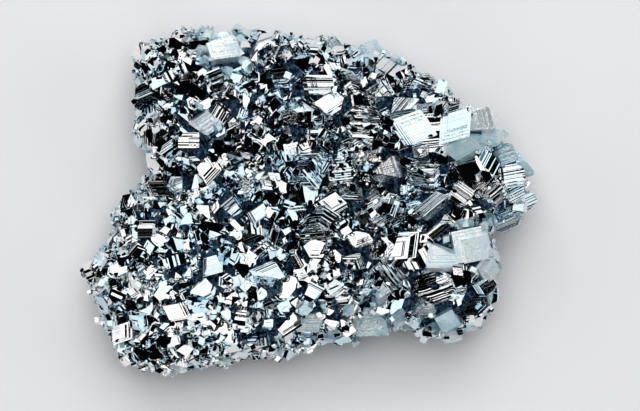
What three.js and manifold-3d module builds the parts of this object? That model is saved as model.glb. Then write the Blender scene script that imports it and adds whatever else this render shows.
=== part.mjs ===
// An osmium crystal cluster: flat-faced metal crystals, grown together from vapour on the wall of a tube.
// It is one solid piece: a low, irregular crust with a flat underside where it left the wall, and blocks,
// bars, columns, tablets, peaks and hollow-topped crystals standing out of it on every other side.
// Millimetres, +Z up, origin at the middle of the flat underside.
import * as THREE from "three";
import { mergeVertices } from "three/addons/utils/BufferGeometryUtils.js";
import Module from "manifold-3d";

const wasm = await Module();
wasm.setup();

// ---- The crust ---------------------------------------------------------------------------------------

// The plan outline over the crystal tips, anticlockwise from the right-hand tip.
const OUTLINE = [
  [7.27, 0.05], [6.98, 0.49], [6.92, 1.32], [6.73, 1.63], [6.4, 1.65], [6.0, 2.33], [5.84, 2.71],
  [5.4, 3.03], [4.79, 3.22], [4.29, 3.79], [3.43, 4.14], [3.3, 4.43], [2.35, 4.87], [1.11, 5.13],
  [-0.32, 5.35], [-1.33, 5.38], [-1.65, 5.6], [-2.06, 5.54], [-2.48, 5.35], [-2.92, 5.54],
  [-3.84, 5.63], [-4.7, 5.22], [-5.65, 5.13], [-5.68, 4.65], [-5.59, 4.27], [-5.71, 3.92],
  [-5.62, 2.97], [-5.75, 2.33], [-5.49, 1.89], [-5.11, 1.06], [-5.14, 0.75], [-5.78, 0.43],
  [-5.62, 0.11], [-6.29, -0.08], [-6.41, -1.06], [-6.92, -2.02], [-7.24, -2.21], [-7.27, -2.52],
  [-6.79, -3.38], [-6.73, -4.11], [-6.16, -4.81], [-5.94, -5.35], [-5.33, -5.35], [-4.76, -5.6],
  [-4.22, -5.57], [-3.87, -5.32], [-3.4, -5.35], [-1.9, -5.06], [-1.17, -5.16], [-0.92, -4.75],
  [-0.06, -4.87], [0.25, -4.59], [1.21, -4.73], [1.65, -4.37], [2.03, -4.3], [2.6, -3.98],
  [3.49, -4.24], [3.94, -4.49], [4.44, -4.4], [5.52, -3.98], [6.0, -3.25], [6.0, -2.81],
  [5.59, -2.52], [6.25, -2.21], [5.68, -1.03], [5.49, -0.81], [6.35, -0.87], [6.76, -0.4],
];
const RIM_GROWTH = 0.4; // the rim's crystals stand this far out of the crust

// The section from the underside's middle to the crown: share of the plan radius, and height.
const SECTION = [
  [0, 0], [0.72, 0], [0.86, 0.3], [0.95, 0.8], [1, 1.45], [0.985, 2.0], [0.93, 2.55],
  [0.82, 2.95], [0.62, 3.2], [0.35, 3.3], [0, 3.35],
];
const MEAN_RADIUS = 6; // spaces the facets evenly along the section
const FLAT_SHARE = 0.32; // share of the way along the section that is flat underside
const RIM_HEIGHT = 1.45;
const CROWN_HEIGHT = 3;
const LEDGE_HEIGHT = 0.7;
const CRUST_DETAIL = 7;
const CRUST_SEED = 7;

// Swells and hollows of the upper face: x, y, radius, rise.
const RELIEF = [
  [1.6, 0.9, 1.9, -0.75], [5.0, 1.0, 0.7, -0.5], [3.9, -2.7, 0.8, -0.5], [4.3, 2.3, 1.5, 0.35],
  [-3.4, 2.9, 2.2, 0.2], [-3.6, -3.1, 2.4, 0.3], [-4.3, 0.6, 1.0, -0.35], [-1.5, -1.1, 0.7, -0.35],
  [4.6, -1.6, 1.2, 0.3], [0.4, -2.8, 1.5, 0.15],
];

const TURN = 2 * Math.PI;
const MERGE_DISTANCE = 1e-4;
const sectionLine = new THREE.Path(SECTION.map(([share, height]) => {
  return new THREE.Vector2(share * MEAN_RADIUS, height);
}));
const upperSection = SECTION.filter(([, height]) => height >= RIM_HEIGHT);
const outlineAngles = OUTLINE.map(([x, y]) => (Math.atan2(y, x) + TURN) % TURN);

// A repeatable run of numbers from 0 to 1.
function makeRandom(seed) {
  let state = seed;
  return () => {
    state = (state + 0x6d2b79f5) >>> 0;
    let mixed = Math.imul(state ^ (state >>> 15), 1 | state);
    mixed = (mixed + Math.imul(mixed ^ (mixed >>> 7), 61 | mixed)) ^ mixed;
    return ((mixed ^ (mixed >>> 14)) >>> 0) / 2 ** 32;
  };
}

// Plan radius over the crystal tips in a direction, straight between the outline's points.
function outlineRadius(angle) {
  const wanted = (angle + TURN) % TURN;
  const next = Math.max(outlineAngles.findIndex((other) => other > wanted), 0);
  const last = (next + OUTLINE.length - 1) % OUTLINE.length;
  const span = (outlineAngles[next] - outlineAngles[last] + TURN) % TURN;
  const share = ((wanted - outlineAngles[last] + TURN) % TURN) / span;
  return THREE.MathUtils.lerp(Math.hypot(...OUTLINE[last]), Math.hypot(...OUTLINE[next]), share);
}

// Plan radius of the crust itself.
function crustRadius(angle) {
  return outlineRadius(angle) - RIM_GROWTH;
}

// Rise of the upper face at a place: all of it on the crown, nothing at the rim.
function relief(x, y, height) {
  const rise = RELIEF.reduce((sum, [cx, cy, radius, swell]) => {
    return sum + swell * Math.exp(-((x - cx) ** 2 + (y - cy) ** 2) / radius ** 2);
  }, 0);
  return rise * THREE.MathUtils.smoothstep(height, RIM_HEIGHT, CROWN_HEIGHT);
}

// A point of the crust, by direction and by share of the way along the section (0 underside, 1 crown).
function crustPoint(angle, along) {
  const { x: reach, y: height } = sectionLine.getPointAt(THREE.MathUtils.clamp(along, 0, 1));
  const radius = crustRadius(angle) * reach / MEAN_RADIUS;
  const x = radius * Math.cos(angle);
  const y = radius * Math.sin(angle);
  return new THREE.Vector3(x, y, height + relief(x, y, height));
}

// Outward direction of the crust there.
function crustNormal(angle, along) {
  const step = 0.02;
  const across = crustPoint(angle + step, along).sub(crustPoint(angle - step, along));
  const up = crustPoint(angle, along + step).sub(crustPoint(angle, along - step));
  return across.cross(up).normalize();
}

// Height of the upper face over a place in the plan.
function upperHeight(x, y) {
  const share = Math.min(Math.hypot(x, y) / crustRadius(Math.atan2(y, x)), 1);
  const inner = Math.max(upperSection.findIndex(([ring]) => ring < share), 1);
  const [[outerRing, low], [innerRing, high]] = upperSection.slice(inner - 1);
  const height = THREE.MathUtils.mapLinear(share, outerRing, innerRing, low, high);
  return height + relief(x, y, height);
}

// The crust: a ball of even facets drawn out to the section and the outline, each corner raised or sunk
// to make ledges. Its underside hangs below the floor, which cuts it flat.
function crustGeometry() {
  const ball = new THREE.IcosahedronGeometry(1, CRUST_DETAIL);
  ball.deleteAttribute("normal");
  ball.deleteAttribute("uv");
  const crust = mergeVertices(ball, MERGE_DISTANCE);
  const position = crust.getAttribute("position");
  const random = makeRandom(CRUST_SEED);
  const direction = new THREE.Vector3();
  for (let i = 0; i < position.count; i++) {
    direction.fromBufferAttribute(position, i);
    const angle = Math.atan2(direction.y, direction.x);
    const along = 1 - Math.acos(THREE.MathUtils.clamp(direction.z, -1, 1)) / Math.PI;
    const ledge = (random() - 0.5) * LEDGE_HEIGHT;
    const point = crustPoint(angle, along);
    if (along < FLAT_SHARE) {
      point.z = -LEDGE_HEIGHT;
    } else {
      point.addScaledVector(crustNormal(angle, along), ledge);
    }
    position.setXYZ(i, point.x, point.y, point.z);
  }
  return crust;
}

// ---- Crystals ----------------------------------------------------------------------------------------

// A habit is how many sides a crystal has, and its half section from its buried root to its tip: radius
// and height, in shares of the crystal's own radius and height.
const HABITS = {
  block: { sides: 4, section: [[0, -1.1], [1, -0.4], [1, 0.5], [0, 0.5]] },
  peak: { sides: 4, section: [[0, -1.1], [1, -0.4], [1, 0], [0, 0.93]] },
  bar: { sides: 4, section: [[0, -1], [1, -0.97], [1, 0.97], [0, 1]] },
  column: { sides: 6, section: [[0, -1.1], [1, -0.4], [0.97, 0.6], [0, 0.68]] },
  tablet: { sides: 6, section: [[0, -1.1], [1, -0.4], [1, 0.3], [0.7, 0.5], [0, 0.5]] },
  hopper: { sides: 6, section: [[0, -1.1], [1, -0.4], [1, 0.5], [0.8, 0.5], [0, -0.1]] },
};

// The large crystals of the upper face: habit, x, y, radius, breadth (share of the radius), height,
// lean from upright, heading of the lean, twist about its own axis (all in degrees), and how far its
// middle stands above the crust (share of the radius).
const LARGE_CRYSTALS = [
  // right-hand part
  ["block", 3.2, 2.3, 0.72, 0.85, 0.9, 5, 60, 20, 0.3],
  ["tablet", 2.9, 2.95, 0.5, 0.9, 0.7, 25, 92, 50, 0.2],
  ["block", 3.5, 2.85, 0.42, 0.6, 0.8, 27, 20, 10, 0.2],
  ["bar", 3.85, 2.25, 0.46, 0.9, 0.75, 78, 95, 10, 0.25],
  ["block", 4.5, 2.3, 0.7, 0.75, 0.7, 6, 300, 15, 0.3],
  ["block", 4.4, 2.75, 0.5, 0.5, 0.6, 27, 135, 15, 0.25],
  ["peak", 4.35, 2.95, 0.55, 0.8, 0.8, 20, 80, 0, 0.05],
  ["block", 4.9, 1.0, 0.76, 0.9, 0.7, 27, 135, 12, 0.25],
  ["block", 5.45, 1.05, 0.56, 0.85, 0.6, 28, 50, 60, 0.2],
  ["block", 4.8, 0.35, 0.45, 0.45, 0.5, 5, 90, -35, 0.45],
  ["block", 4.6, 0.1, 0.45, 0.4, 0.5, 27, 225, -35, 0.3],
  ["column", 5.7, 0.3, 0.5, 0.8, 0.7, 42, 130, 40, 0.15],
  ["block", 6.3, 0.75, 0.56, 0.8, 0.6, 5, 20, 10, 0.25],
  ["peak", 6.4, 0.1, 0.54, 0.75, 0.8, 35, 310, 25, 0.05],
  ["column", 6.15, -0.45, 0.5, 0.8, 0.6, 45, 300, 20, 0],
  ["block", 6.8, -0.02, 0.45, 0.8, 0.5, 30, 350, 20, 0],
  ["block", 3.8, -0.15, 0.72, 0.4, 0.6, 20, 130, 40, 0.35],
  ["block", 4.05, -0.75, 0.62, 0.35, 0.6, 22, 310, 38, 0.25],
  ["block", 2.95, -1.5, 0.66, 0.95, 0.9, 24, 92, 5, 0.35],
  ["bar", 3.4, -1.75, 0.42, 0.9, 0.6, 72, 210, 20, 0.1],
  ["tablet", 5.6, -1.85, 0.62, 0.7, 0.5, 26, 330, 25, 0],
  ["column", 2.45, -2.25, 0.7, 0.8, 1, 52, 225, 45, 0.15],
  ["peak", 2.2, -1.55, 0.5, 0.8, 0.8, 15, 120, 0, 0.15],
  ["hopper", 3.9, -2.7, 0.76, 0.85, 0.8, 14, 60, 20, 0.05],
  ["column", 3.5, -3.25, 0.45, 0.7, 0.6, 40, 280, 0, 0],
  ["peak", 4.85, -3.6, 0.46, 0.8, 0.6, 30, 300, 10, 0],
  ["hopper", 5.15, -3.2, 0.42, 0.8, 0.6, 20, 310, 0, 0.1],
  ["block", 5.4, -2.65, 0.45, 0.8, 0.6, 24, 340, 30, 0.1],
  // upper middle
  ["bar", 2.4, 4.0, 0.44, 0.85, 0.75, 76, 330, 15, 0.15],
  ["peak", 2.1, 3.4, 0.56, 0.8, 0.92, 22, 240, 30, 0.2],
  ["column", 3.45, 3.6, 0.4, 0.8, 0.6, 42, 60, 15, 0],
  ["block", 0.2, 3.6, 0.6, 0.7, 0.7, 5, 30, 0, 0.25],
  ["column", -0.3, 2.75, 0.74, 0.85, 0.9, 30, 200, 14, 0.25],
  ["block", 0.7, 2.95, 0.55, 0.85, 0.8, 24, 85, 35, 0.25],
  ["column", 1.65, 2.35, 0.68, 0.9, 0.8, 40, 80, 0, 0.15],
  ["column", 1.45, 1.75, 0.58, 0.85, 0.8, 34, 250, 30, 0.15],
  ["peak", 3.55, 1.75, 0.52, 0.75, 0.7, 26, 270, 20, 0.1],
  // the dell
  ["column", 3.55, 0.75, 0.45, 0.7, 0.7, 48, 95, 0, 0.1],
  ["column", 0, 1, 0.56, 0.8, 0.7, 46, 255, 10, 0.15],
  ["column", 0.8, 0.95, 0.52, 0.9, 0.7, 40, 330, 0, 0.15],
  ["peak", 2.4, 1, 0.56, 0.8, 0.8, 34, 200, 15, 0.1],
  ["peak", 1.3, 0.2, 0.46, 0.8, 0.7, 30, 60, 0, 0.1],
  ["column", 2.4, -0.35, 0.52, 0.8, 0.9, 45, 150, 25, 0.2],
  ["block", 0.65, -0.2, 0.52, 0.8, 0.8, 5, 110, 30, 0.3],
  ["column", 0.3, -0.7, 0.62, 0.8, 0.9, 40, 250, 12, 0.25],
  ["tablet", 0.3, -1.35, 0.54, 0.85, 0.8, 6, 330, 0, 0.3],
  ["block", 1.45, -1.2, 0.48, 0.7, 0.7, 26, 5, 20, 0.2],
  ["peak", 1.35, -1.85, 0.45, 0.8, 0.7, 18, 250, 0, 0.15],
  // left-hand part
  ["hopper", -1.35, 4.85, 0.54, 0.8, 0.7, 22, 250, 20, 0.1],
  ["column", -0.75, 3.85, 0.46, 0.8, 0.6, 38, 110, 0, 0.1],
  ["column", -2.9, 3.75, 0.46, 0.8, 0.7, 44, 300, 20, 0.1],
  ["bar", -4.45, 3.9, 0.3, 0.8, 0.6, 84, 25, 30, 0.25],
  ["block", -5.1, 3.3, 0.5, 0.75, 0.6, 27, 135, 20, 0],
  ["block", -2.75, 2.7, 0.45, 0.8, 0.6, 5, 250, 60, 0.2],
  ["column", -4.4, 1.75, 0.52, 0.85, 0.7, 40, 140, 30, 0.15],
  ["block", -3.75, 1.9, 0.42, 0.8, 0.6, 5, 60, 0, 0.2],
  ["block", -3.45, 1.3, 0.36, 0.8, 0.6, 27, 225, 10, 0.1],
  ["block", -3.1, 0.85, 0.48, 0.85, 0.7, 24, 95, 50, 0.25],
  ["tablet", -4.1, 0.6, 0.42, 0.8, 0.6, 4, 230, 20, 0.2],
  ["block", -4.75, 0.5, 0.45, 0.8, 0.6, 28, 225, 5, 0.1],
  ["block", -2.4, -0.1, 0.45, 0.8, 0.7, 6, 20, 40, 0.2],
  ["block", -1.65, -0.4, 0.42, 0.7, 0.6, 5, 40, 35, 0.2],
  ["block", -1.75, -1.0, 0.5, 0.8, 0.6, 27, 135, 20, 0.1],
  ["block", -1.2, -1.0, 0.46, 0.8, 0.6, 27, 45, 70, 0.1],
  ["block", -1.4, -1.45, 0.45, 0.8, 0.6, 28, 225, 40, 0.1],
  ["block", -1.35, -2.35, 0.58, 0.8, 0.7, 24, 88, 25, 0.2],
  ["block", -3, -2.0, 0.46, 0.8, 0.6, 5, 200, 15, 0.15],
  ["bar", -4.1, -1.9, 0.34, 0.8, 0.55, 80, 20, 0, 0.2],
  ["block", -5, -0.85, 0.44, 0.8, 0.6, 26, 175, 0, 0.15],
  ["tablet", -3.3, -2.7, 0.5, 0.8, 0.6, 5, 320, 30, 0.15],
  ["block", -4.1, -3.45, 0.46, 0.85, 0.6, 6, 80, 10, 0.15],
  ["bar", -2.05, -3.5, 0.36, 0.8, 0.55, 75, 260, 0, 0.2],
  ["peak", -1.6, -4.3, 0.52, 0.8, 0.8, 24, 230, 20, 0.1],
  ["block", -0.65, -3.9, 0.6, 0.75, 0.7, 24, 92, 35, 0.2],
  ["column", 1.6, -2.8, 0.46, 0.8, 0.7, 40, 60, 30, 0.15],
  ["column", 1.1, -3.3, 0.46, 0.8, 0.6, 38, 130, 0, 0.15],
  ["block", -5.8, -4.1, 0.48, 0.8, 0.6, 5, 200, 20, 0.05],
  ["column", -3.1, -4.5, 0.46, 0.8, 0.6, 36, 260, 0, 0.1],
  // broad plates among them
  ["block", 5.2, 2.5, 0.66, 0.8, 0.7, 22, 50, 5, -0.05],
  ["block", 5.65, 2.1, 0.55, 0.8, 0.6, 30, 20, 40, -0.05],
  ["block", 4.85, 1.85, 0.75, 0.55, 0.6, 22, 290, 30, 0.1],
  ["block", 6.1, 1.4, 0.48, 0.8, 0.6, 30, 30, 20, 0],
  ["block", 6.6, 1.0, 0.4, 0.8, 0.6, 38, 20, 0, 0],
  ["block", 5.0, -1.35, 0.8, 0.85, 0.65, 12, 40, 12, 0.2],
  ["block", 5.5, -2.0, 0.52, 0.8, 0.6, 20, 340, 50, 0],
  ["block", 4.1, -1.75, 0.7, 0.8, 0.7, 16, 110, 0, 0.05],
  ["block", 1.95, -3.75, 0.74, 0.8, 0.7, 20, 235, 5, 0.2],
  ["block", 4.3, -3.65, 0.45, 0.8, 0.6, 22, 270, 30, 0],
  ["block", -2.75, 4.7, 0.68, 0.85, 0.8, 26, 80, 10, 0.15],
  ["block", -3.25, 2.5, 0.5, 0.8, 0.7, 12, 280, 35, 0.15],
  ["block", 0.05, -3.75, 0.5, 0.8, 0.6, 20, 240, 0, 0.15],
];

// Smaller crystals cover the rest of the crust, outside its flat underside.
const COAT_HABITS = ["block", "peak", "block", "bar"];
const COAT_SEED = 42;
const COAT_TRIES = 4000;
const COAT_SPACING = 1; // least distance between middles, as a share of the two radii together
const COAT_RADII = [0.42, 0.62];
const COAT_BREADTH = [0.65, 0.95];
const COAT_HEIGHT = [0.9, 1.4]; // share of the radius
const COAT_STAND = 0.05;
const COAT_LEAN = 0.9;

function largeCrystals() {
  return LARGE_CRYSTALS.map(([habit, x, y, radius, breadth, height, lean, heading, twist, stand]) => {
    const [tilt, way, spin] = [lean, heading, twist].map(THREE.MathUtils.degToRad);
    const axis = new THREE.Vector3(
      Math.sin(tilt) * Math.cos(way), Math.sin(tilt) * Math.sin(way), Math.cos(tilt));
    const middle = new THREE.Vector3(x, y, upperHeight(x, y) + stand * radius);
    return { habit, radius, breadth, height, axis, spin, middle };
  });
}

// Small crystals dropped at random on the crust, each kept where it stands clear of those before it.
function coatCrystals(large) {
  const random = makeRandom(COAT_SEED);
  const between = ([least, most]) => THREE.MathUtils.lerp(least, most, random());
  const coat = [];
  for (let attempt = 0; attempt < COAT_TRIES; attempt++) {
    const angle = between([0, TURN]);
    const along = between([FLAT_SHARE, 1]);
    const radius = between(COAT_RADII);
    const breadth = between(COAT_BREADTH);
    const height = radius * between(COAT_HEIGHT);
    const spin = between([0, TURN]);
    const lean = new THREE.Vector3(random() - 0.5, random() - 0.5, random() - 0.5);
    const normal = crustNormal(angle, along);
    const middle = crustPoint(angle, along).addScaledVector(normal, COAT_STAND * radius);
    const crowded = [...large, ...coat].some((other) => {
      return other.middle.distanceTo(middle) < COAT_SPACING * (other.radius + radius);
    });
    if (crowded) continue;
    const axis = normal.addScaledVector(lean, COAT_LEAN).normalize();
    const habit = COAT_HABITS[coat.length % COAT_HABITS.length];
    coat.push({ habit, radius, breadth, height, axis, spin, middle });
  }
  return coat;
}

// One crystal: its sides turned from its habit, then sized, twisted, leaned and set in place.
function crystalGeometry({ habit, radius, breadth, height, axis, spin, middle }) {
  const { sides, section } = HABITS[habit];
  const line = section.map(([reach, rise]) => new THREE.Vector2(reach, rise));
  const firstCorner = sides === 4 ? Math.PI / 4 : Math.PI / 2; // four sides lie square to the breadth
  const lean = new THREE.Quaternion().setFromUnitVectors(new THREE.Vector3(0, 0, 1), axis);
  return new THREE.LatheGeometry(line, sides)
    .rotateX(Math.PI / 2)
    .rotateZ(firstCorner)
    .scale(radius, radius * breadth, height)
    .rotateZ(spin)
    .applyQuaternion(lean)
    .translate(middle.x, middle.y, middle.z);
}

// ---- Joining -----------------------------------------------------------------------------------------

// A closed geometry as a solid, with shared corners merged.
function solidOf(geometry) {
  geometry.deleteAttribute("normal");
  geometry.deleteAttribute("uv");
  const merged = mergeVertices(geometry, MERGE_DISTANCE);
  return new wasm.Manifold(new wasm.Mesh({
    numProp: 3,
    vertProperties: merged.getAttribute("position").array,
    triVerts: new Uint32Array(merged.index.array),
  }));
}

function geometryOf(solid) {
  const mesh = solid.getMesh();
  return new THREE.BufferGeometry()
    .setAttribute("position", new THREE.BufferAttribute(mesh.vertProperties, 3))
    .setIndex(new THREE.BufferAttribute(mesh.triVerts, 1));
}

const large = largeCrystals();
const crystals = [...large, ...coatCrystals(large)];
const grown = wasm.Manifold.union([crustGeometry(), ...crystals.map(crystalGeometry)].map(solidOf));

// The wall it grew on: nothing reaches below the flat underside.
const WALL_SIZE = 20;
const WALL_DEPTH = 4;
const wall = solidOf(
  new THREE.BoxGeometry(WALL_SIZE, WALL_SIZE, WALL_DEPTH).translate(0, 0, -WALL_DEPTH / 2));

// Pockets sealed in between crystals are solid metal, so the largest body is the whole cluster.
const [cluster] = grown.subtract(wall).decompose().sort((a, b) => b.volume() - a.volume());
const geometry = geometryOf(cluster);
geometry.computeBoundingBox();
const middle = geometry.boundingBox.getCenter(new THREE.Vector3());
geometry.translate(-middle.x, -middle.y, 0);

const osmium = new THREE.MeshStandardMaterial({ color: 0xa9bcc8, metalness: 1, roughness: 0.12 });
const crystalCluster = new THREE.Mesh(geometry, osmium);
crystalCluster.name = "osmium_crystal";

const part = new THREE.Group();
part.add(crystalCluster);
export default part;
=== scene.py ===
import math
import random
from itertools import count

import bmesh
import bpy
from mathutils import Matrix, Vector
from mathutils.bvhtree import BVHTree


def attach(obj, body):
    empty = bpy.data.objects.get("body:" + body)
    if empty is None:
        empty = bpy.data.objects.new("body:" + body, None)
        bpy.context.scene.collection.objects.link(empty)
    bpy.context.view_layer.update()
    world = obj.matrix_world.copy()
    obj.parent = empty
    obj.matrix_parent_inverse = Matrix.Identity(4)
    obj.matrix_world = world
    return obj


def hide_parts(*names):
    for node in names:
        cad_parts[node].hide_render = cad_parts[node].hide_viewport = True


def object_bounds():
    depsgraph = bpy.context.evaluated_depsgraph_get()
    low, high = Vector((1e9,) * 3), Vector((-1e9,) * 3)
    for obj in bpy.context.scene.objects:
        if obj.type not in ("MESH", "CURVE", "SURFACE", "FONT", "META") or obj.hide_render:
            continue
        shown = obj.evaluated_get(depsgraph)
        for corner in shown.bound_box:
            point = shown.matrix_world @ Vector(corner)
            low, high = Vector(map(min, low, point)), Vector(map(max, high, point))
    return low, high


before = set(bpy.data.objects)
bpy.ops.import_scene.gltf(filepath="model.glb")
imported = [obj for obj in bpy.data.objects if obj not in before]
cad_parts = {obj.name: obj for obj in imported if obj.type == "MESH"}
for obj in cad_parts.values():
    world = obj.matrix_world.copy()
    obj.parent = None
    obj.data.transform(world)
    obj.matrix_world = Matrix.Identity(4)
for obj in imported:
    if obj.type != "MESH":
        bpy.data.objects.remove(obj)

cad_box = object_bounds()

# ---- The crust --------------------------------------------------------------------------------
# The body of the cluster: solid osmium, grown from vapour on the wall of a tube, with a flat underside
# where it left the wall. A ball of even facets, drawn out to the section and outline in millimetres.

MILLIMETRE = 0.001

# plan outline over the crystal tips, anticlockwise from the right-hand tip
OUTLINE = [
    (7.27, 0.05), (6.98, 0.49), (6.92, 1.32), (6.73, 1.63), (6.4, 1.65), (6.0, 2.33), (5.84, 2.71),
    (5.4, 3.03), (4.79, 3.22), (4.29, 3.79), (3.43, 4.14), (3.3, 4.43), (2.35, 4.87), (1.11, 5.13),
    (-0.32, 5.35), (-1.33, 5.38), (-1.65, 5.6), (-2.06, 5.54), (-2.48, 5.35), (-2.92, 5.54),
    (-3.84, 5.63), (-4.7, 5.22), (-5.65, 5.13), (-5.68, 4.65), (-5.59, 4.27), (-5.71, 3.92),
    (-5.62, 2.97), (-5.75, 2.33), (-5.49, 1.89), (-5.11, 1.06), (-5.14, 0.75), (-5.78, 0.43),
    (-5.62, 0.11), (-6.29, -0.08), (-6.41, -1.06), (-6.92, -2.02), (-7.24, -2.21), (-7.27, -2.52),
    (-6.79, -3.38), (-6.73, -4.11), (-6.16, -4.81), (-5.94, -5.35), (-5.33, -5.35), (-4.76, -5.6),
    (-4.22, -5.57), (-3.87, -5.32), (-3.4, -5.35), (-1.9, -5.06), (-1.17, -5.16), (-0.92, -4.75),
    (-0.06, -4.87), (0.25, -4.59), (1.21, -4.73), (1.65, -4.37), (2.03, -4.3), (2.6, -3.98),
    (3.49, -4.24), (3.94, -4.49), (4.44, -4.4), (5.52, -3.98), (6.0, -3.25), (6.0, -2.81),
    (5.59, -2.52), (6.25, -2.21), (5.68, -1.03), (5.49, -0.81), (6.35, -0.87), (6.76, -0.4),
]
RIM_GROWTH = 0.25  # the rim's crystals stand this far out of the crust

# the section from the underside's middle to the crown: share of the plan radius, and height
SECTION = [
    (0, 0), (0.72, 0), (0.86, 0.3), (0.95, 0.8), (1, 1.45), (0.985, 2.0), (0.93, 2.55),
    (0.82, 2.95), (0.62, 3.2), (0.35, 3.3), (0, 3.35),
]
MEAN_RADIUS = 6  # turns the section's shares into lengths
RIM_HEIGHT = 1.45  # where the upper face begins
CROWN_HEIGHT = 3  # where its relief is in full

# swells and hollows of the upper face: x, y, radius, rise
RELIEF = [
    (1.6, 0.9, 1.9, -0.75), (5.0, 1.0, 0.7, -0.5), (3.9, -2.7, 0.8, -0.5), (4.3, 2.3, 1.5, 0.35),
    (-3.4, 2.9, 2.2, 0.2), (-3.6, -3.1, 2.4, 0.3), (-4.3, 0.6, 1.0, -0.35), (-1.5, -1.1, 0.7, -0.35),
    (4.6, -1.6, 1.2, 0.3), (0.4, -2.8, 1.5, 0.15),
]


def outline_radius(angle):
    """Plan radius over the crystal tips, straight between the outline's points."""
    bearings = [((math.atan2(y, x) - angle) % math.tau, math.hypot(x, y)) for x, y in OUTLINE]
    ahead, far = min(bearings)
    behind, near = max(bearings)
    share = (math.tau - behind) / (math.tau - behind + ahead)
    return near + (far - near) * share


OUTLINE_STEPS = 720  # bearings at which the outline is worked out once for all
outline_table = [outline_radius(math.tau * step / OUTLINE_STEPS) for step in range(OUTLINE_STEPS)]


def crust_radius(x, y):
    """Plan radius of the crust towards a place."""
    at = (math.atan2(y, x) % math.tau) / math.tau * OUTLINE_STEPS
    low = int(at) % OUTLINE_STEPS
    here, there = outline_table[low], outline_table[(low + 1) % OUTLINE_STEPS]
    return here + (there - here) * (at - int(at)) - RIM_GROWTH


def relief(x, y, height):
    """Rise of the upper face: all of it on the crown, nothing at the rim."""
    share = min(max((height - RIM_HEIGHT) / (CROWN_HEIGHT - RIM_HEIGHT), 0), 1)
    rise = sum(swell * math.exp(-((x - cx) ** 2 + (y - cy) ** 2) / radius ** 2)
               for cx, cy, radius, swell in RELIEF)
    return rise * share * share * (3 - 2 * share)


def section_at(along):
    """Share of the plan radius and height, by share of the way along the section."""
    lengths = [math.dist((a * MEAN_RADIUS, b), (c * MEAN_RADIUS, d))
               for (a, b), (c, d) in zip(SECTION, SECTION[1:])]
    left = along * sum(lengths)
    for (a, b), (c, d), length in zip(SECTION, SECTION[1:], lengths):
        if left <= length:
            break
        left -= length
    part = min(left / length, 1)
    return a + (c - a) * part, b + (d - b) * part


def upper_height(x, y):
    """Height of the crust's upper face over a place in the plan."""
    share = min(math.hypot(x, y) / crust_radius(x, y), 1)
    upper = [ring for ring in SECTION if ring[1] >= RIM_HEIGHT]
    for (outer, low), (inner, high) in zip(upper, upper[1:]):
        if inner <= share:
            break
    height = low + (high - low) * (outer - share) / (outer - inner)
    return height + relief(x, y, height)


# each place on the ball takes the place on the section that lies as far along
crust = bmesh.new()
bmesh.ops.create_icosphere(crust, subdivisions=6, radius=1)
for vert in crust.verts:
    along = 1 - math.acos(max(-1, min(1, vert.co.z))) / math.pi
    share, height = section_at(along)
    angle = math.atan2(vert.co.y, vert.co.x)
    reach = crust_radius(math.cos(angle), math.sin(angle)) * share
    x, y = reach * math.cos(angle), reach * math.sin(angle)
    vert.co = (x, y, height + relief(x, y, height))
crust.normal_update()


def crust_painted_shade_material():
    """Bare metal between the crystals and underneath: a fine mosaic of crystal bases, dull. Its dark
    blue-grey colour is painted shade for the deep gaps between the crystals, and the underside takes the
    same painted shade.
    """
    material = bpy.data.materials.new("osmium_crust_painted_shade")
    material.use_nodes = True
    nodes, links = material.node_tree.nodes, material.node_tree.links
    metal = nodes["Principled BSDF"]
    metal.inputs["Metallic"].default_value = 1
    place = nodes.new("ShaderNodeTexCoord")
    grains = nodes.new("ShaderNodeTexVoronoi")
    grains.inputs["Scale"].default_value = 8 / MILLIMETRE
    links.new(place.outputs["Object"], grains.inputs["Vector"])
    split = nodes.new("ShaderNodeSeparateColor")
    links.new(grains.outputs["Color"], split.inputs[0])
    colour = nodes.new("ShaderNodeMix")
    colour.data_type = "RGBA"
    # painted shade: these dark blue-greys stand for the shade deep in the gaps between the crystals, not
    # for the metal's own colour
    colour.inputs["A"].default_value = (0.02, 0.04, 0.07, 1)
    colour.inputs["B"].default_value = (0.15, 0.25, 0.34, 1)
    links.new(split.outputs["Red"], colour.inputs["Factor"])
    links.new(colour.outputs["Result"], metal.inputs["Base Color"])
    gloss = nodes.new("ShaderNodeMapRange")
    gloss.inputs["To Min"].default_value = 0.1
    gloss.inputs["To Max"].default_value = 0.4
    links.new(split.outputs["Green"], gloss.inputs["Value"])
    links.new(gloss.outputs["Result"], metal.inputs["Roughness"])
    bump = nodes.new("ShaderNodeBump")
    bump.inputs["Strength"].default_value = 1
    bump.inputs["Distance"].default_value = 0.08 * MILLIMETRE
    links.new(grains.outputs["Distance"], bump.inputs["Height"])
    links.new(bump.outputs["Normal"], metal.inputs["Normal"])
    return material


def finish_piece(name, shape, material):
    """Makes a finished shape a piece of the cluster, in metres."""
    mesh = bpy.data.meshes.new(name)
    shape.to_mesh(mesh)
    mesh.transform(Matrix.Scale(MILLIMETRE, 4))
    mesh.materials.append(material)
    piece = bpy.data.objects.new(name, mesh)
    bpy.context.scene.collection.objects.link(piece)
    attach(piece, "root")
    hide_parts("osmium_crystal")


finish_piece("crust", crust, crust_painted_shade_material())

# ---- Large crystals ---------------------------------------------------------------------------
# The largest osmium crystals of the upper face, bright as mirrors and grown together with the crust. Each
# is turned from its half section: terraced blocks and tablets, peaks, grooved columns and bars, hoppers.

dice = random.Random()
# the half sections are in shares of a crystal's radius and height
ROOT = [(0, -1.1), (1, -0.4)]  # the buried end
GROOVE_DEPTH = 0.07
WELD = 1e-5
END_STEEPNESS = 0.8  # upward part of the normal past which a face is an end and not a side
FOUR_SIDED = 0.6  # share of the smaller prisms


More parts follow.
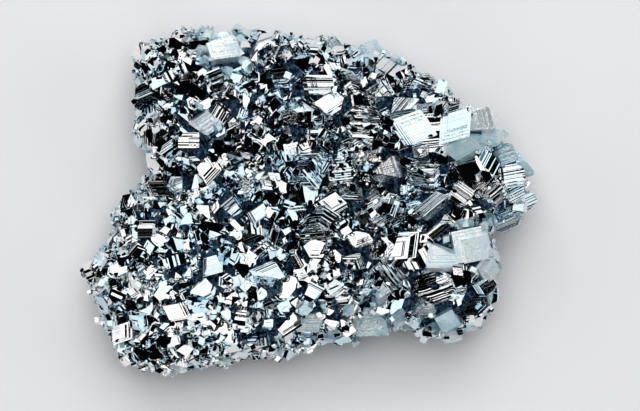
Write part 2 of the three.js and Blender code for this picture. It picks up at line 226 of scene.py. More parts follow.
def turned(profile, sides):
    """A crystal turned from its half section. Four sides lie square to its breadth."""
    shape = bmesh.new()
    ring = [shape.verts.new((radius, 0, height)) for radius, height in profile]
    edges = [shape.edges.new(pair) for pair in zip(ring, ring[1:])]
    bmesh.ops.spin(shape, geom=ring + edges, cent=(0, 0, 0), axis=(0, 0, 1), angle=math.tau,
                   steps=sides, use_merge=True)
    bmesh.ops.remove_doubles(shape, verts=shape.verts, dist=WELD)
    bmesh.ops.recalc_face_normals(shape, faces=shape.faces)
    if sides == 4:
        bmesh.ops.rotate(shape, verts=shape.verts, matrix=Matrix.Rotation(math.pi / 4, 3, "Z"))
    return shape


def drift(shape, level, slope):
    """Pushes what stands above a level to one side, so that the terraces crowd together there."""
    way = dice.uniform(0, math.tau)
    for vert in shape.verts:
        vert.co += Vector((math.cos(way), math.sin(way), 0)) * slope * max(vert.co.z - level, 0)


def cut_off(shape, weld, **plane):
    """Cuts a shape at a plane and closes it there."""
    cut = bmesh.ops.bisect_plane(shape, geom=shape.verts[:] + shape.edges[:] + shape.faces[:], dist=weld,
                                 **plane)
    rim = [item for item in cut["geom_cut"] if isinstance(item, bmesh.types.BMEdge)]
    bmesh.ops.holes_fill(shape, edges=rim)


def slice_sides(shape, cuts):
    """Skews a crystal a little and takes slanted slices off its sides, where it grew against others."""
    skew = Matrix(((1, dice.uniform(-0.3, 0.3), 0), (0, 1, 0), (0, 0, 1)))
    bmesh.ops.transform(shape, matrix=skew, verts=shape.verts)
    for _ in range(cuts):
        way = dice.uniform(0, math.tau)
        plane = Vector((math.cos(way), math.sin(way), dice.uniform(-0.4, 0.9))).normalized()
        cut_off(shape, WELD, plane_co=plane * dice.uniform(0.4, 0.75), plane_no=plane, clear_outer=True)


def mapped(shape):
    """The shape as a mesh, with a growth map that runs along its sides and straight across its ends."""
    shape.normal_update()
    growth = shape.loops.layers.uv.new("growth")
    for face in shape.faces:
        end = abs(face.normal.z) > END_STEEPNESS
        side = math.atan2(face.normal.y, face.normal.x)
        for loop in face.loops:
            x, y, z = loop.vert.co
            loop[growth].uv = (x, y) if end else (x * math.sin(side) - y * math.cos(side), z)
    mesh = bpy.data.meshes.new("crystal")
    shape.to_mesh(mesh)
    shape.free()
    return mesh


def about(amount):
    """The amount, give or take a fifth."""
    return amount * dice.uniform(0.8, 1.2)


def terraces(start, end, steps, tread, riser):
    """Uneven steps from one point of a half section to another. The first corner of each lies at the
    tread's share of its breadth and the riser's share of its height."""
    cuts = sorted(dice.uniform(0.03, 0.97) for _ in range(steps - 1)) + [1]
    points, last = [], Vector(start)
    for cut in cuts:
        here = Vector(start).lerp(Vector(end), cut)
        points.append((last.x + (here.x - last.x) * tread, last.y + (here.y - last.y) * riser))
        points.append((here.x, here.y))
        last = here
    return points


def grooves(low, high, bands):
    """A side wall with growth grooves across it: a zigzag of uneven steps."""
    edges = [low] + sorted(dice.uniform(low, high) for _ in range(bands - 1)) + [high]
    return [(1 - GROOVE_DEPTH * (band % 2) * dice.uniform(0.6, 1), (bottom + top) / 2)
            for band, (bottom, top) in enumerate(zip(edges, edges[1:]))]


def side_count(detail, usual):
    """Large crystals have their habit's sides, and most small ones have four."""
    if detail == 1:
        return usual
    return 4 if dice.random() < FOUR_SIDED else 6


def block(detail):
    """A squarish block with a flat terraced top."""
    shoulder, crest = 0.4, 0.52
    steps = round(about(5 * detail))
    flat = dice.uniform(0.45, 0.8)
    top = terraces((1, shoulder), (flat, crest), steps, 0.1, 0.9) if steps > 1 else [(0.95, crest)]
    shape = turned(ROOT + [(1, shoulder)] + top + [(0, crest)], 4)
    drift(shape, shoulder, (1 - flat) / (crest - shoulder) if steps > 1 else 0)
    slice_sides(shape, dice.randint(0, 1) if detail == 1 else dice.randint(1, 4))
    return mapped(shape)


def tablet(detail):
    """A low six-sided tablet with broad terraces."""
    shoulder, crest = 0.3, 0.5
    steps = max(round(about(5 * detail)), 1)
    flat = dice.uniform(0.3, 0.7)
    top = terraces((1, shoulder), (flat, crest), steps, 0.08, 0.92)
    shape = turned(ROOT + [(1, shoulder)] + top + [(0, crest)], 6)
    drift(shape, shoulder, (1 - flat) / (crest - shoulder) * dice.uniform(0.5, 0.9))
    slice_sides(shape, dice.randint(2, 4))
    return mapped(shape)


def column(detail):
    """An upright prism with grooved sides."""
    shoulder, crest = 0.6, 0.7
    fine = about(detail)
    walls = grooves(-0.35, shoulder, round(1 + 8 * fine))
    flat = dice.uniform(0.5, 0.9)
    steps = round(3 * fine)
    top = terraces((0.97, shoulder), (flat, crest), steps, 0.1, 0.9) if steps > 1 else [(0.9, crest)]
    shape = turned(ROOT + walls + [(0.97, shoulder)] + top + [(0, crest)], side_count(detail, 6))
    drift(shape, shoulder, (1 - flat) / (crest - shoulder) * dice.uniform(0.5, 0.9) if steps > 1 else 0)
    slice_sides(shape, dice.randint(0, 2))
    return mapped(shape)


def peak(detail):
    """A stepped pyramid."""
    steps = max(round(about(8 * detail)), 2)
    profile = ROOT + [(1, 0)] + terraces((1, 0), (0.12, 0.9), steps, 0.3, 0.75) + [(0, 0.93)]
    shape = turned(profile, 4 if detail == 1 else dice.choice((3, 4, 6)))
    drift(shape, 0, dice.uniform(0, 0.5))
    slice_sides(shape, dice.randint(0, 1))
    return mapped(shape)


def bar(detail):
    """A prism that lies along the crust, grooved across."""
    walls = grooves(-0.95, 0.95, round(1 + about(9 * detail)))
    shape = turned([(0, -1), (1, -0.97)] + walls + [(1, 0.97), (0, 1)], side_count(detail, 4))
    slice_sides(shape, dice.randint(0, 1))
    return mapped(shape)


def hopper(detail):
    """A prism whose top is a stepped hollow."""
    crest, bottom = 0.5, -0.15
    steps = max(round(about(6 * detail)), 2)
    rim = [(1, crest), (0.82, crest)]
    hollow = terraces((0.82, crest), (0.1, bottom), steps, 0.95, 0.05)
    shape = turned(ROOT + rim + hollow + [(0, bottom)], side_count(detail, 6))
    slice_sides(shape, dice.randint(0, 1))
    return mapped(shape)


HABITS = {"block": block, "tablet": tablet, "column": column, "peak": peak, "bar": bar, "hopper": hopper}

# habit, x, y, radius, breadth (share of the radius), height, lean from upright, heading of the lean, twist
# (degrees), and stand above the crust (share of the radius)
LARGE_CRYSTALS = [
    # right-hand part
    ("block", 3.2, 2.3, 0.72, 0.85, 0.9, 5, 60, 20, 0.3),
    ("tablet", 2.9, 2.95, 0.5, 0.9, 0.7, 25, 92, 50, 0.2),
    ("block", 3.5, 2.85, 0.42, 0.6, 0.8, 27, 20, 10, 0.2),
    ("block", 4.5, 2.3, 0.7, 0.75, 0.7, 6, 300, 15, 0.3),
    ("bar", 3.85, 2.25, 0.46, 0.9, 0.75, 78, 95, 10, 0.25),
    ("block", 4.4, 2.75, 0.5, 0.5, 0.6, 27, 135, 15, 0.25),
    ("peak", 4.35, 2.95, 0.55, 0.8, 0.8, 20, 80, 0, 0.05),
    ("column", 5.7, 0.3, 0.5, 0.8, 0.7, 42, 130, 40, 0.15),
    ("block", 5.45, 1.05, 0.56, 0.85, 0.6, 28, 50, 60, 0.2),
    ("block", 4.8, 0.35, 0.45, 0.45, 0.5, 5, 90, -35, 0.45),
    ("block", 4.6, 0.1, 0.45, 0.4, 0.5, 27, 225, -35, 0.3),
    ("block", 4.9, 1.0, 0.76, 0.9, 0.7, 27, 135, 12, 0.25),
    ("block", 6.3, 0.75, 0.56, 0.8, 0.6, 5, 20, 10, 0.25),
    ("peak", 6.4, 0.1, 0.54, 0.75, 0.8, 35, 310, 25, 0.05),
    ("column", 6.15, -0.45, 0.5, 0.8, 0.6, 45, 300, 20, 0),
    ("block", 6.8, -0.02, 0.45, 0.8, 0.5, 30, 350, 20, 0),
    ("block", 3.8, -0.15, 0.72, 0.4, 0.6, 20, 130, 40, 0.35),
    ("block", 4.05, -0.75, 0.62, 0.35, 0.6, 22, 310, 38, 0.25),
    ("column", 2.45, -2.25, 0.7, 0.8, 1.0, 52, 225, 45, 0.15),
    ("block", 2.95, -1.5, 0.66, 0.95, 0.9, 24, 92, 5, 0.35),
    ("bar", 3.4, -1.75, 0.42, 0.9, 0.6, 72, 210, 20, 0.1),
    ("tablet", 5.6, -1.85, 0.62, 0.7, 0.5, 26, 330, 25, 0),
    ("peak", 2.2, -1.55, 0.5, 0.8, 0.8, 15, 120, 0, 0.15),
    ("hopper", 3.9, -2.7, 0.76, 0.85, 0.8, 14, 60, 20, 0.05),
    ("column", 3.5, -3.25, 0.45, 0.7, 0.6, 40, 280, 0, 0),
    ("peak", 4.85, -3.6, 0.46, 0.8, 0.6, 30, 300, 10, 0),
    ("hopper", 5.15, -3.2, 0.42, 0.8, 0.6, 20, 310, 0, 0.1),
    ("block", 5.4, -2.65, 0.45, 0.8, 0.6, 24, 340, 30, 0.1),
    # upper middle
    ("bar", 2.4, 4.0, 0.44, 0.85, 0.75, 76, 330, 15, 0.15),
    ("peak", 2.1, 3.4, 0.56, 0.8, 0.92, 22, 240, 30, 0.2),
    ("column", 3.45, 3.6, 0.4, 0.8, 0.6, 42, 60, 15, 0),
    ("block", 0.2, 3.6, 0.6, 0.7, 0.7, 5, 30, 0, 0.25),
    ("column", -0.3, 2.75, 0.74, 0.85, 0.9, 30, 200, 14, 0.25),
    ("block", 0.7, 2.95, 0.55, 0.85, 0.8, 24, 85, 35, 0.25),
    ("column", 1.65, 2.35, 0.68, 0.9, 0.8, 40, 80, 0, 0.15),
    ("column", 1.45, 1.75, 0.58, 0.85, 0.8, 34, 250, 30, 0.15),
    ("peak", 3.55, 1.75, 0.52, 0.75, 0.7, 26, 270, 20, 0.1),
    # left-hand part
    ("hopper", -1.35, 4.85, 0.54, 0.8, 0.7, 22, 250, 20, 0.1),
    ("column", -0.75, 3.85, 0.46, 0.8, 0.6, 38, 110, 0, 0.1),
    ("column", -2.9, 3.75, 0.46, 0.8, 0.7, 44, 300, 20, 0.1),
    ("bar", -4.45, 3.9, 0.3, 0.8, 0.6, 84, 25, 30, 0.25),
    ("block", -5.1, 3.3, 0.5, 0.75, 0.6, 27, 135, 20, 0),
    ("block", -2.75, 2.7, 0.45, 0.8, 0.6, 5, 250, 60, 0.2),
    ("column", -4.4, 1.75, 0.52, 0.85, 0.7, 40, 140, 30, 0.15),
    ("block", -3.75, 1.9, 0.42, 0.8, 0.6, 5, 60, 0, 0.2),
    ("block", -3.45, 1.3, 0.36, 0.8, 0.6, 27, 225, 10, 0.1),
    ("block", -3.1, 0.85, 0.48, 0.85, 0.7, 24, 95, 50, 0.25),
    ("tablet", -4.1, 0.6, 0.42, 0.8, 0.6, 4, 230, 20, 0.2),
    ("block", -4.75, 0.5, 0.45, 0.8, 0.6, 28, 225, 5, 0.1),
    ("block", -2.4, -0.1, 0.45, 0.8, 0.7, 6, 20, 40, 0.2),
    ("block", -1.65, -0.4, 0.42, 0.7, 0.6, 5, 40, 35, 0.2),
    ("block", -1.75, -1.0, 0.5, 0.8, 0.6, 27, 135, 20, 0.1),
    ("block", -1.2, -1.0, 0.46, 0.8, 0.6, 27, 45, 70, 0.1),
    ("block", -1.4, -1.45, 0.45, 0.8, 0.6, 28, 225, 40, 0.1),
    ("block", -1.35, -2.35, 0.58, 0.8, 0.7, 24, 88, 25, 0.2),
    ("block", -3, -2.0, 0.46, 0.8, 0.6, 5, 200, 15, 0.15),
    ("bar", -4.1, -1.9, 0.34, 0.8, 0.55, 80, 20, 0, 0.2),
    ("block", -5, -0.85, 0.44, 0.8, 0.6, 26, 175, 0, 0.15),
    ("tablet", -3.3, -2.7, 0.5, 0.8, 0.6, 5, 320, 30, 0.15),
    ("block", -4.1, -3.45, 0.46, 0.85, 0.6, 6, 80, 10, 0.15),
    ("bar", -2.05, -3.5, 0.36, 0.8, 0.55, 75, 260, 0, 0.2),
    ("peak", -1.6, -4.3, 0.52, 0.8, 0.8, 24, 230, 20, 0.1),
    ("block", -0.65, -3.9, 0.6, 0.75, 0.7, 24, 92, 35, 0.2),
    ("column", 1.6, -2.8, 0.46, 0.8, 0.7, 40, 60, 30, 0.15),
    ("column", 1.1, -3.3, 0.46, 0.8, 0.6, 38, 130, 0, 0.15),
    ("block", -5.8, -4.1, 0.48, 0.8, 0.6, 5, 200, 20, 0.05),
    ("column", -3.1, -4.5, 0.46, 0.8, 0.6, 36, 260, 0, 0.1),
    # the dell
    ("block", 1.45, -1.2, 0.48, 0.7, 0.7, 26, 5, 20, 0.2),
    ("tablet", 0.3, -1.35, 0.54, 0.85, 0.8, 6, 330, 0, 0.3),
    ("column", 3.55, 0.75, 0.52, 0.7, 0.75, 48, 95, 0, 0.3),
    ("block", 0.65, -0.2, 0.52, 0.8, 0.8, 5, 110, 30, 0.3),
    ("peak", 1.3, 0.2, 0.54, 0.8, 0.75, 30, 60, 0, 0.3),
    ("column", 0, 1, 0.64, 0.8, 0.8, 46, 255, 10, 0.35),
    ("peak", 2.4, 1, 0.64, 0.8, 0.85, 34, 200, 15, 0.3),
    ("column", 0.8, 0.95, 0.6, 0.9, 0.8, 40, 330, 0, 0.35),
    ("peak", 1.35, -1.85, 0.45, 0.8, 0.7, 18, 250, 0, 0.15),
    ("column", 2.4, -0.35, 0.6, 0.8, 0.95, 45, 150, 25, 0.35),
    ("column", 0.3, -0.7, 0.68, 0.8, 0.95, 40, 250, 12, 0.4),
]


CRYSTAL_STRIDE = 100  # millimetres of growth map between one crystal and the next
GROWTH_START = 500  # a crystal's map starts anywhere within these millimetres


def growth_lines_group():
    """Ridges and thin steps across crystal faces, grain and clouds, and a tone and dullness of its own
    for each crystal."""
    tree = bpy.data.node_groups.new("growth_lines", "ShaderNodeTree")
    for name in ("Lines per mm", "Depth", "Grain", "Clouds"):
        tree.interface.new_socket(name, in_out="INPUT", socket_type="NodeSocketFloat")
    for name in ("Tone", "Dullness", "Height"):
        tree.interface.new_socket(name, in_out="OUTPUT", socket_type="NodeSocketFloat")
    nodes, links = tree.nodes, tree.links
    inside, outside = nodes.new("NodeGroupInput"), nodes.new("NodeGroupOutput")

    def maths(operation, *values):
        node = nodes.new("ShaderNodeMath")
        node.operation = operation
        for slot, value in enumerate(values):
            if isinstance(value, (int, float)):
                node.inputs[slot].default_value = value
            else:
                links.new(value, node.inputs[slot])
        return node.outputs[0]

    def between(value, low, high, least, most):
        """The value's share of the way from low to high, as one from least to most."""
        node = nodes.new("ShaderNodeMapRange")
        for socket, number in zip(("From Min", "From Max", "To Min", "To Max"), (low, high, least, most)):
            node.inputs[socket].default_value = number
        links.new(value, node.inputs["Value"])
        return node.outputs[0]

    def noise(vector, scale, detail, roughness=0.5):
        node = nodes.new("ShaderNodeTexNoise")
        node.inputs["Scale"].default_value = scale
        node.inputs["Detail"].default_value = detail
        node.inputs["Roughness"].default_value = roughness
        links.new(vector, node.inputs["Vector"])
        return node.outputs["Fac"]

    def noise_along(distance, scale, detail):
        node = nodes.new("ShaderNodeTexNoise")
        node.noise_dimensions = "1D"
        node.inputs["Scale"].default_value = scale
        node.inputs["Detail"].default_value = detail
        links.new(distance, node.inputs["W"])
        return node.outputs["Fac"]

    growth = nodes.new("ShaderNodeUVMap")
    growth.uv_map = "growth"
    split = nodes.new("ShaderNodeSeparateXYZ")
    links.new(growth.outputs["UV"], split.inputs[0])
    chance = nodes.new("ShaderNodeTexWhiteNoise")
    chance.noise_dimensions = "1D"
    links.new(maths("FLOOR", maths("DIVIDE", split.outputs["X"], CRYSTAL_STRIDE)), chance.inputs["W"])
    own = nodes.new("ShaderNodeSeparateColor")
    links.new(chance.outputs["Color"], own.inputs[0])
    place = nodes.new("ShaderNodeTexCoord").outputs["Object"]

    pitch = between(own.outputs["Blue"], 0, 1, 0.5, 1.3)
    along = maths("MULTIPLY", maths("MULTIPLY", split.outputs["Y"], inside.outputs["Lines per mm"]), pitch)
    uneven = maths("ADD", along, maths("MULTIPLY", noise_along(along, 0.3, 2), 4))
    ridges = maths("DIVIDE", maths("PINGPONG", uneven, 0.5), pitch)
    lined = between(own.outputs["Red"], 0.3, 0.95, 0, 1.1)
    steps = maths("SNAP", noise_along(along, 0.2, 3), 0.08)
    lines = maths("ADD", maths("MULTIPLY", ridges, lined), maths("MULTIPLY", steps, 1.5))
    grain = maths("MULTIPLY", noise(place, 16 / MILLIMETRE, 3), inside.outputs["Grain"])
    height = maths("ADD", maths("MULTIPLY", lines, inside.outputs["Depth"]), grain)
    links.new(height, outside.inputs["Height"])

    cloud = maths("SUBTRACT", noise(place, 1.4 / MILLIMETRE, 5, 0.7), 0.5)
    clouds = maths("MULTIPLY", cloud, inside.outputs["Clouds"])
    links.new(maths("ADD", own.outputs["Green"], clouds), outside.inputs["Tone"])
    links.new(maths("ADD", own.outputs["Blue"], clouds), outside.inputs["Dullness"])
    return tree


growth_lines = growth_lines_group()


def osmium_material(name, pale, deep, metallic, dull_from, polish, surface):
    """Osmium: blue-grey metal with fine growth lines. Its roughness goes from the first of polish to the
    second as the dullness goes from dull_from to one."""
    material = bpy.data.materials.new(name)
    material.use_nodes = True
    nodes, links = material.node_tree.nodes, material.node_tree.links
    metal = nodes["Principled BSDF"]
    metal.inputs["Metallic"].default_value = metallic
    group = nodes.new("ShaderNodeGroup")
    group.node_tree = growth_lines
    for socket, value in surface.items():
        group.inputs[socket].default_value = value
    colour = nodes.new("ShaderNodeMix")
    colour.data_type = "RGBA"
    colour.inputs["A"].default_value = (*pale, 1)
    colour.inputs["B"].default_value = (*deep, 1)
    links.new(group.outputs["Tone"], colour.inputs["Factor"])
    links.new(colour.outputs["Result"], metal.inputs["Base Color"])
    gloss = nodes.new("ShaderNodeMapRange")
    gloss.inputs["From Min"].default_value = dull_from
    gloss.inputs["To Min"].default_value = polish[0]
    gloss.inputs["To Max"].default_value = polish[1]
    links.new(group.outputs["Dullness"], gloss.inputs["Value"])
    links.new(gloss.outputs["Result"], metal.inputs["Roughness"])
    bump = nodes.new("ShaderNodeBump")
    bump.inputs["Strength"].default_value = 1
    bump.inputs["Distance"].default_value = 0.02 * MILLIMETRE
    links.new(group.outputs["Height"], bump.inputs["Height"])
    links.new(bump.outputs["Normal"], metal.inputs["Normal"])
    return material


bright = osmium_material("osmium_bright", (1, 0.97, 0.96), (0.62, 0.77, 0.84), 1, 0.8, (0.012, 0.22),
                         {"Lines per mm": 10.5, "Depth": 1, "Grain": 0.05, "Clouds": 1})

crystal_numbers = count(1)


def add_crystal(shape, mesh, middle, axis, spin, radius, breadth, height):
    """Sizes a crystal, twists and leans it, and sets it in the shape, with a stretch of the growth map
    of its own."""
    lean = Vector((0, 0, 1)).rotation_difference(axis).to_matrix().to_4x4()
    place = (Matrix.Translation(middle) @ lean @ Matrix.Rotation(spin, 4, "Z")
             @ Matrix.Diagonal((radius, radius * breadth, height, 1)))
    copy = mesh.copy()
    copy.transform(place)
    growth = copy.uv_layers["growth"].uv
    across, along = (next(crystal_numbers) + 0.5) * CRYSTAL_STRIDE, dice.uniform(0, GROWTH_START)
    values = [0.0] * (2 * len(growth))
    growth.foreach_get("vector", values)
    values[0::2] = [value * radius + across for value in values[0::2]]
    values[1::2] = [value * radius + along for value in values[1::2]]
    growth.foreach_set("vector", values)
    shape.from_mesh(copy)
    bpy.data.meshes.remove(copy)


class Bed:
    """Where crystals stand, kept in cells so that near ones are found fast. No two crystals that could
    crowd each other are more than a cell apart."""

    def __init__(self, cell):
        self.cell = cell
        self.cells = {}

    def key(self, point):
        return tuple(int(math.floor(value / self.cell)) for value in point)

    def add(self, point, radius):
        self.cells.setdefault(self.key(point), []).append((point, radius))

    def crowded(self, point, radius, spacing):
        i, j, k = self.key(point)
        for a in (i - 1, i, i + 1):
            for b in (j - 1, j, j + 1):
                for c in (k - 1, k, k + 1):
                    for other, size in self.cells.get((a, b, c), ()):
                        if (other - point).length < spacing * (size + radius):
                            return True
        return False


large_bed = Bed(cell=2.2)
ground = crust.copy()  # what stands so far, for smaller crystals to grow on
large_faces = []  # the faces of the large crystals, which stay nearly bare


def add_to_ground(shape):
    mesh = bpy.data.meshes.new("ground")
    shape.to_mesh(mesh)
    ground.from_mesh(mesh)
    bpy.data.meshes.remove(mesh)


def cut_level(shape):
    """Cuts off what would reach below the flat underside."""
    cut_off(shape, weld=1e-6, plane_co=(0, 0, 0), plane_no=(0, 0, 1), clear_inner=True)


def direction(lean, heading):
    """The way that an axis points, from its lean from upright and its heading in degrees."""
    tilt, way = math.radians(lean), math.radians(heading)
    return Vector((math.sin(tilt) * math.cos(way), math.sin(tilt) * math.sin(way), math.cos(tilt)))


def large_crystals(name, rows, material, clearance):
    """One piece of large crystals, each where its row says. Smaller ones keep clear of them by a share
    of their radius, and come closer to narrow ones."""
    shape = bmesh.new()
    for habit, x, y, radius, breadth, height, lean, heading, twist, stand in rows:
        dice.seed(f"{habit} {x} {y}")
        middle = Vector((x, y, upper_height(x, y) + stand * radius))
        mesh = HABITS[habit](1)
        add_crystal(shape, mesh, middle, direction(lean, heading), math.radians(twist), radius, breadth,
                    height)
        bpy.data.meshes.remove(mesh)
        large_bed.add(middle, radius * clearance * (0.3 + 0.8 * breadth))
    cut_level(shape)
    add_to_ground(shape)
    large_faces.append(BVHTree.FromBMesh(shape))
    finish_piece(name, shape, material)


large_crystals("large_crystals", LARGE_CRYSTALS, bright, 0.9)

# ---- Frosted crystals -------------------------------------------------------------------------
# Broad osmium blocks whose faces are etched dull, pale blue-green and mottled. They are made like the
# bright ones, and smaller crystals that grow over them are as dull.

frosted = osmium_material("osmium_frosted", (0.92, 0.98, 1.0), (0.56, 0.76, 0.83), 0.6, 0, (0.12, 0.4),
                          {"Lines per mm": 9, "Depth": 0.7, "Grain": 0.7, "Clouds": 2.5})

# given like the large ones
FROSTED_CRYSTALS = [
    ("block", 5.2, 2.5, 0.66, 0.8, 0.7, 22, 50, 5, -0.05),
    ("block", 5.65, 2.1, 0.55, 0.8, 0.6, 30, 20, 40, -0.05),
    ("block", 4.85, 1.85, 0.75, 0.55, 0.6, 22, 290, 30, 0.1),
    ("block", 6.1, 1.4, 0.48, 0.8, 0.6, 30, 30, 20, 0),
    ("block", 5.0, -1.35, 0.8, 0.85, 0.65, 12, 40, 12, 0.2),
    ("block", 6.6, 1.0, 0.4, 0.8, 0.6, 38, 20, 0, 0),
    ("block", 5.5, -2.0, 0.52, 0.8, 0.6, 20, 340, 50, 0),
    ("block", 4.1, -1.75, 0.7, 0.8, 0.7, 16, 110, 0, 0.05),
    ("block", 0.05, -3.75, 0.5, 0.8, 0.6, 20, 240, 0, 0.15),
    ("block", 4.3, -3.65, 0.45, 0.8, 0.6, 22, 270, 30, 0),
    ("block", -2.75, 4.7, 0.68, 0.85, 0.8, 26, 80, 10, 0.15),
    ("block", -3.25, 2.5, 0.5, 0.8, 0.7, 12, 280, 35, 0.15),
    ("block", 1.95, -3.75, 0.74, 0.8, 0.7, 20, 235, 5, 0.2),
]

large_crystals("frosted_crystals", FROSTED_CRYSTALS, frosted, 0.8)

FROST_REACH = 1.15  # share of a frosted crystal's radius
FROST_SHARE = 0.6
RIM_FROST = 0.55  # share of the crystals on the side walls that are frosted


def frosty(point):
    """Whether a smaller crystal there is frosted: most are on and round the large frosted ones."""
    near = any(math.hypot(point.x - x, point.y - y) < FROST_REACH * radius
               for _, x, y, radius, *_ in FROSTED_CRYSTALS)
    return near and dice.random() < FROST_SHARE


# ---- Medium, small and fine crystals ----------------------------------------------------------
# The coat of osmium crystals that hides the crust everywhere but underneath, grown together with it. Each
# tier is dropped at random from a stock of shapes, and stays where it doesn't crowd what stands already.

# patches of the upper face where many crystals turn their ends alike: x, y, radius, and the share that do.
# Above nothing the ends lie level or face a lamp, and below it they lean a little and mirror the dark.
PATCHES = [
    (0.7, 0.8, 1.5, -0.9), (2.3, 0.8, 1.5, -0.9), (3.7, 0.5, 1.0, -0.8), (-2.2, 3.3, 1.3, -0.8),
    (-0.7, -0.5, 0.8, -0.7), (2.3, 2.6, 1.0, -0.8), (5.0, 0.95, 0.6, -0.9), (-3.8, -2.4, 1.8, 0.5),
    (-2.5, -4.0, 1.5, 0.7), (0, -4.2, 1.2, 0.8), (5.2, -1.7, 1.1, 0.8), (5.9, 1.4, 1.2, 0.8),
    (-0.7, 4.2, 0.8, -0.5), (3.4, -1.9, 0.8, 0.5), (1.8, 4.2, 0.9, -0.6), (-4.6, 3.4, 1.2, -0.5),
]
LAMP_LEANS = [(0, 0), (3, 120), (25, 90), (26, 175), (27, 5), (26, 270)]  # lean and heading, degrees
DARK_LEANS = [(14, heading) for heading in range(0, 360, 40)] + [(27, 45), (27, 135), (28, 225), (28, 315)]
PATCH_STEEPNESS = 0.75  # least upward part of the normal on a patch


def turned_alike(point, normal):
    """The axis of a crystal that its patch turns, or nothing."""
    share = sum(part * math.exp(-((point.x - x) ** 2 + (point.y - y) ** 2) / radius ** 2)
                for x, y, radius, part in PATCHES)
    lean, heading = dice.choice(LAMP_LEANS if share > 0 else DARK_LEANS)
    if dice.random() < abs(share) and normal.z > PATCH_STEEPNESS:
        return direction(lean + dice.uniform(-2, 2), heading + dice.uniform(-8, 8))
    return None


def flatness(normal):
    """Nothing on the side walls, one on the upper face."""
    return min(max(normal.z - 0.1, 0) / 0.5, 1)


def coarseness(place, normal):
    """How large the crystals are: finer on the left than on the right, and on the side walls."""
    return (1 + 0.035 * place.x) * (0.45 + 0.55 * flatness(normal))


skin = [face for face in crust.faces if face.normal.z > -0.95]  # all but the underside
spread = [face.calc_area() for face in skin]
crown = cad_box[1][2] / MILLIMETRE
SKY = 2.5  # millimetres above the crust, clear of every crystal
BARE_SHARE = 0.9  # share of the smaller crystals that don't take on a large one's faces
TOUCH = 0.01
SCATTER = 0.5  # how unevenly the crystals lean
SMALL_BIAS = 1.5  # above one, most of a tier are near its least radius
beds = [large_bed]
overgrowth = bmesh.new()


def place_on(face):
    """A random place on a three-sided face."""
    a, b, c = (vert.co for vert in face.verts)
    u, v = dice.random(), dice.random()
    if u + v > 1:
        u, v = 1 - u, 1 - v
    return a + (b - a) * u + (c - a) * v


def kept_bare(seat):
    """Whether a place is on a large crystal's face and stays bare."""
    on_large = any(faces.find_nearest(seat, TOUCH)[0] is not None for faces in large_faces)
    return on_large and dice.random() < BARE_SHARE


def sticks_out(middle, radius):
    """Whether a crystal would reach past the rim, below the underside or above the crown."""
    past_rim = middle.xy.length + radius * 0.7 > crust_radius(middle.x, middle.y) + RIM_GROWTH
    return past_rim or middle.z < radius * 0.8 or middle.z + radius > crown


def grow(name, radii, spacing, clearances, tries, leaning, stock, riding):
    """One tier. Spacing and clearances are the least distances between middles, as shares of the two
    radii, within the tier and to each earlier one. Riding crystals sit on the earlier ones."""
    least, most = radii
    bed = Bed(2 * most)
    shape, dull = bmesh.new(), bmesh.new()
    standing = BVHTree.FromBMesh(ground)
    for face in dice.choices(skin, weights=spread, k=tries):
        seat = place_on(face)
        alike = turned_alike(seat, face.normal)
        radius = coarseness(seat, face.normal) * (least + (most - least) * dice.random() ** SMALL_BIAS)
        if riding:
            seat = standing.ray_cast(seat + face.normal * SKY, -face.normal)[0] or seat
            if kept_bare(seat):
                continue
        level = flatness(face.normal)
        middle = seat + face.normal * (dice.uniform(-0.3, 0.25) - 0.2 * (1 - level)) * radius
        lean = Vector((dice.gauss(0, SCATTER), dice.gauss(0, SCATTER), dice.gauss(0, SCATTER)))
        lean *= leaning * (0.4 + 0.6 * level)
        kind, spin = dice.choice(stock), dice.uniform(0, math.tau)
        breadth, height = dice.uniform(0.6, 1), radius * dice.uniform(0.6, 1.2)
        if sticks_out(middle, radius) or bed.crowded(middle, radius, spacing):
            continue
        if any(other.crowded(middle, radius, clear) for other, clear in zip(beds, clearances)):
            continue
        pale = frosty(middle) or dice.random() < RIM_FROST * (1 - level)
        add_crystal(dull if pale else shape, kind, middle,
                    alike or (face.normal + lean).normalized(), spin, radius, breadth, height)
        bed.add(middle, radius)
    beds.append(bed)
    for grown in (shape, dull):
        cut_level(grown)
        add_to_ground(grown)
    finish_piece(name, shape, bright)
    mesh = bpy.data.meshes.new("dull")
    dull.to_mesh(mesh)
    overgrowth.from_mesh(mesh)
    bpy.data.meshes.remove(mesh)


def stock_of(habits, kinds, detail):
    """Shapes for one tier, each habit as often as it is listed."""
    dice.seed(kinds)
    return [HABITS[habits[number % len(habits)]](detail) for number in range(kinds)]


grow("medium_crystals", radii=(0.3, 0.62), spacing=0.42, clearances=(0.72,), tries=20000, leaning=0.8,
     stock=stock_of(["column", "block", "bar", "block", "peak", "block", "tablet", "peak"], 64, 0.45),
     riding=False)
grow("small_crystals", radii=(0.13, 0.27), spacing=0.5, clearances=(0.9, 0.68), tries=60000, leaning=1.1,
     stock=stock_of(["block", "column", "bar", "block"], 16, 0.2), riding=True)
grow("fine_crystals", radii=(0.07, 0.12), spacing=0.6, clearances=(0.95, 0.85, 0.85), tries=60000,
     leaning=1.6, stock=stock_of(["block"], 6, 0.2), riding=True)
finish_piece("frosted_overgrowth", overgrowth, frosted)

# ---- Floor, lights and camera -----------------------------------------------------------------
# A pale floor, a soft box overhead, larger ones round about with dark gaps between, and a long lens
# looking straight down.

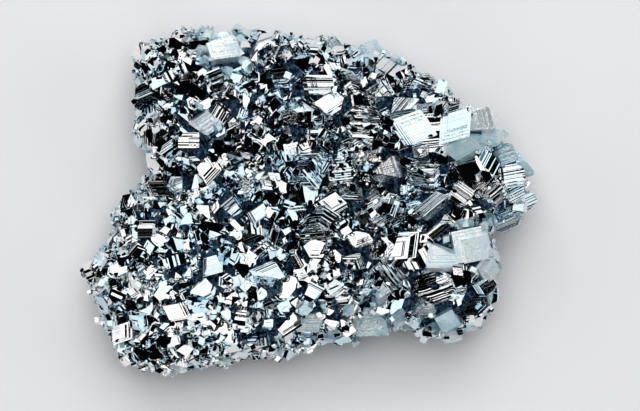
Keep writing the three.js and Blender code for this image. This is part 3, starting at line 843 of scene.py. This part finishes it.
sheet = bmesh.new()
bmesh.ops.create_grid(sheet, x_segments=1, y_segments=1, size=1.0)
floor_mesh = bpy.data.meshes.new("floor")
sheet.to_mesh(floor_mesh)
sheet.free()
floor = bpy.data.objects.new("floor", floor_mesh)
floor.location.z = -0.01 * MILLIMETRE  # just clear of the underside
bpy.context.scene.collection.objects.link(floor)
paper = bpy.data.materials.new("paper")
paper.use_nodes = True
paper.node_tree.nodes["Principled BSDF"].inputs["Base Color"].default_value = (0.82, 0.82, 0.83, 1)
paper.node_tree.nodes["Principled BSDF"].inputs["Roughness"].default_value = 0.9
floor_mesh.materials.append(paper)

LAMP_DISTANCE = 0.25
FILL_DISTANCE = 0.3


def soft_box(name, azimuth, elevation, distance, width, height, radiance, mirrored=True):
    """A flat light facing the cluster: bearing and height in degrees, sizes in metres. One that isn't
    mirrored lights the floor and, a little, the frosted crystals, because bare metal only mirrors."""
    light = bpy.data.lights.new(name, "AREA")
    light.shape = "RECTANGLE"
    light.size, light.size_y = width, height
    light.energy = radiance * math.pi * width * height
    lamp = bpy.data.objects.new(name, light)
    way, rise = math.radians(azimuth), math.radians(elevation)
    lamp.location = Vector((math.cos(rise) * math.cos(way), math.cos(rise) * math.sin(way),
                            math.sin(rise))) * distance
    lamp.rotation_euler = lamp.location.to_track_quat("Z", "Y").to_euler()
    lamp.visible_camera = False
    lamp.visible_glossy = mirrored
    bpy.context.scene.collection.objects.link(lamp)


soft_box("overhead", 0, 90, LAMP_DISTANCE, 0.165, 0.165, 0.9)
soft_box("upper", 90, 42, LAMP_DISTANCE, 0.28, 0.14, 0.9)
soft_box("left", 175, 38, LAMP_DISTANCE, 0.17, 0.165, 0.75)
soft_box("right", 5, 35, LAMP_DISTANCE, 0.17, 0.15, 0.8)
soft_box("lower", 270, 38, LAMP_DISTANCE, 0.21, 0.12, 0.8)
soft_box("fill", 90, 70, FILL_DISTANCE, 0.26, 0.26, 1.8, mirrored=False)

# the metal mirrors a dark room, and behind it the camera sees a pale one
studio = bpy.data.worlds.new("studio")
bpy.context.scene.world = studio
studio.use_nodes = True
nodes, links = studio.node_tree.nodes, studio.node_tree.links
room = nodes["Background"]
room.inputs["Color"].default_value = (0.004, 0.005, 0.0065, 1)
backdrop = nodes.new("ShaderNodeBackground")
backdrop.inputs["Color"].default_value = (0.68, 0.68, 0.69, 1)
seen = nodes.new("ShaderNodeLightPath")
blend = nodes.new("ShaderNodeMixShader")
links.new(seen.outputs["Is Camera Ray"], blend.inputs[0])
links.new(room.outputs[0], blend.inputs[1])
links.new(backdrop.outputs[0], blend.inputs[2])
links.new(blend.outputs[0], nodes["World Output"].inputs["Surface"])

bpy.context.scene.view_settings.view_transform = "Standard"
bpy.context.scene.view_settings.look = "High Contrast"

FRAME_WIDTH = 20.317 * MILLIMETRE  # what the picture spans at the height of the rim
FRAME_MIDDLE = (0.317 * MILLIMETRE, -0.127 * MILLIMETRE)
RIM_PLANE = 1.5 * MILLIMETRE
camera = bpy.data.objects.new("camera", bpy.data.cameras.new("camera"))
camera.data.lens = 200
camera.data.clip_start = 0.01
camera.location = (*FRAME_MIDDLE, RIM_PLANE + FRAME_WIDTH * camera.data.lens / camera.data.sensor_width)
bpy.context.scene.collection.objects.link(camera)
bpy.context.scene.camera = camera
